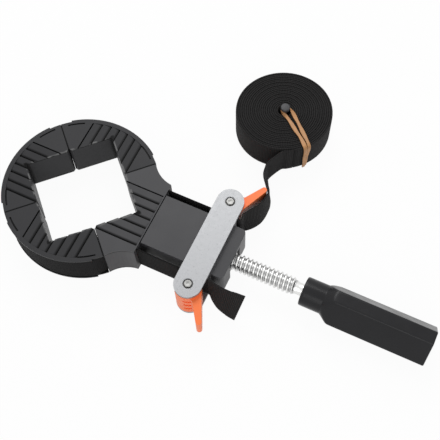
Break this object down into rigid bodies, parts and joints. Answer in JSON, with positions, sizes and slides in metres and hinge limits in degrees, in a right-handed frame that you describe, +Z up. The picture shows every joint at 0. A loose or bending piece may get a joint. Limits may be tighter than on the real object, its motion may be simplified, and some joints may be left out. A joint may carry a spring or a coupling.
{
  "type": "band clamp",
  "caption": "Screw-tensioned band clamp: corner jaws on a webbing band, cam levers that lock the band, and a hand screw that pushes the nose jaw.",
  "frame": {"origin": "on the floor under the middle of the crossbars, at the lower crossbar's underside", "axes": "+X along the screw towards the handle, +Y towards the wound band, +Z up through the crossbars"},
  "size_m": [0.3011, 0.1991, 0.0305],
  "materials": {
    "plastic": "fine moulded texture",
    "steel_plate": "stamped, zinc plated, satin",
    "zinc": "bright zinc plated",
    "lever": "moulded, satin",
    "webbing": "woven webbing",
    "grip": "moulded, satin",
    "elastic": "plain rubber band"
  },
  "bodies": {
    "housing": {"housing": "plastic", "crossbar_upper": "steel_plate", "crossbar_lower": "steel_plate", "pin_coil_side": "zinc", "pin_tail_side": "zinc", "spindle_nut": "zinc", "band_run_coil_side": "webbing", "band_run_tail_side": "webbing", "band_lead": "webbing", "band_coil": "webbing", "band_tail": "webbing", "coil_holder": "elastic"},
    "nose": {"nose_jaw": "plastic", "band_bend_coil_side": "webbing"},
    "screw": {"spindle_screw": "zinc", "thrust_washer": "zinc", "retaining_clip": "zinc", "handle": "grip"},
    "lever_coil_side": {"cam_lever_coil_side": "lever"},
    "lever_tail_side": {"cam_lever_tail_side": "lever"},
    "jaw_coil_side": {"jaw_coil_side": "plastic", "band_arc_coil_side": "webbing"},
    "jaw_far": {"jaw_far": "plastic", "band_arc_far": "webbing"},
    "jaw_tail_side": {"jaw_tail_side": "plastic", "band_arc_tail_side": "webbing"},
    "band_link": {"band_bend_tail_side": "webbing"}
  },
  "joints": [
    {"name": "nose_slide", "type": "slide", "parent": "housing", "child": "nose", "axis": [-1, 0, 0], "range_m": [0, 0.036]},
    {"name": "screw_turn", "type": "hinge", "parent": "nose", "child": "screw", "pos_m": [0.04, 0, 0.015], "axis": [-1, 0, 0], "range_deg": [0, 4320]},
    {"name": "lever_coil_side_turn", "type": "hinge", "parent": "housing", "child": "lever_coil_side", "pos_m": [0, 0.0317, 0.015], "axis": [0, 0, 1], "range_deg": [0, 90]},
    {"name": "lever_tail_side_turn", "type": "hinge", "parent": "housing", "child": "lever_tail_side", "pos_m": [0, -0.0317, 0.015], "axis": [0, 0, -1], "range_deg": [0, 90]},
    {"name": "jaw_coil_side_slide", "type": "slide", "parent": "nose", "child": "jaw_coil_side", "axis": [-0.7071, 0.7071, 0], "range_m": [0, 0.06]},
    {"name": "jaw_far_slide", "type": "slide", "parent": "jaw_coil_side", "child": "jaw_far", "axis": [-0.7071, -0.7071, 0], "range_m": [0, 0.06]},
    {"name": "jaw_tail_side_slide", "type": "slide", "parent": "jaw_far", "child": "jaw_tail_side", "axis": [0.7071, -0.7071, 0], "range_m": [0, 0.06]},
    {"name": "band_link_slide", "type": "slide", "parent": "jaw_tail_side", "child": "band_link", "axis": [0.7071, 0.7071, 0], "range_m": [0, 0.06]}
  ],
  "couplings": [
    {"joint": "screw_turn", "follows": "nose_slide", "rad_per_m": 2094.4},
    {"joint": "jaw_far_slide", "follows": "jaw_coil_side_slide", "ratio": 1},
    {"joint": "jaw_tail_side_slide", "follows": "jaw_coil_side_slide", "ratio": 1},
    {"joint": "band_link_slide", "follows": "jaw_coil_side_slide", "ratio": 1}
  ]
}
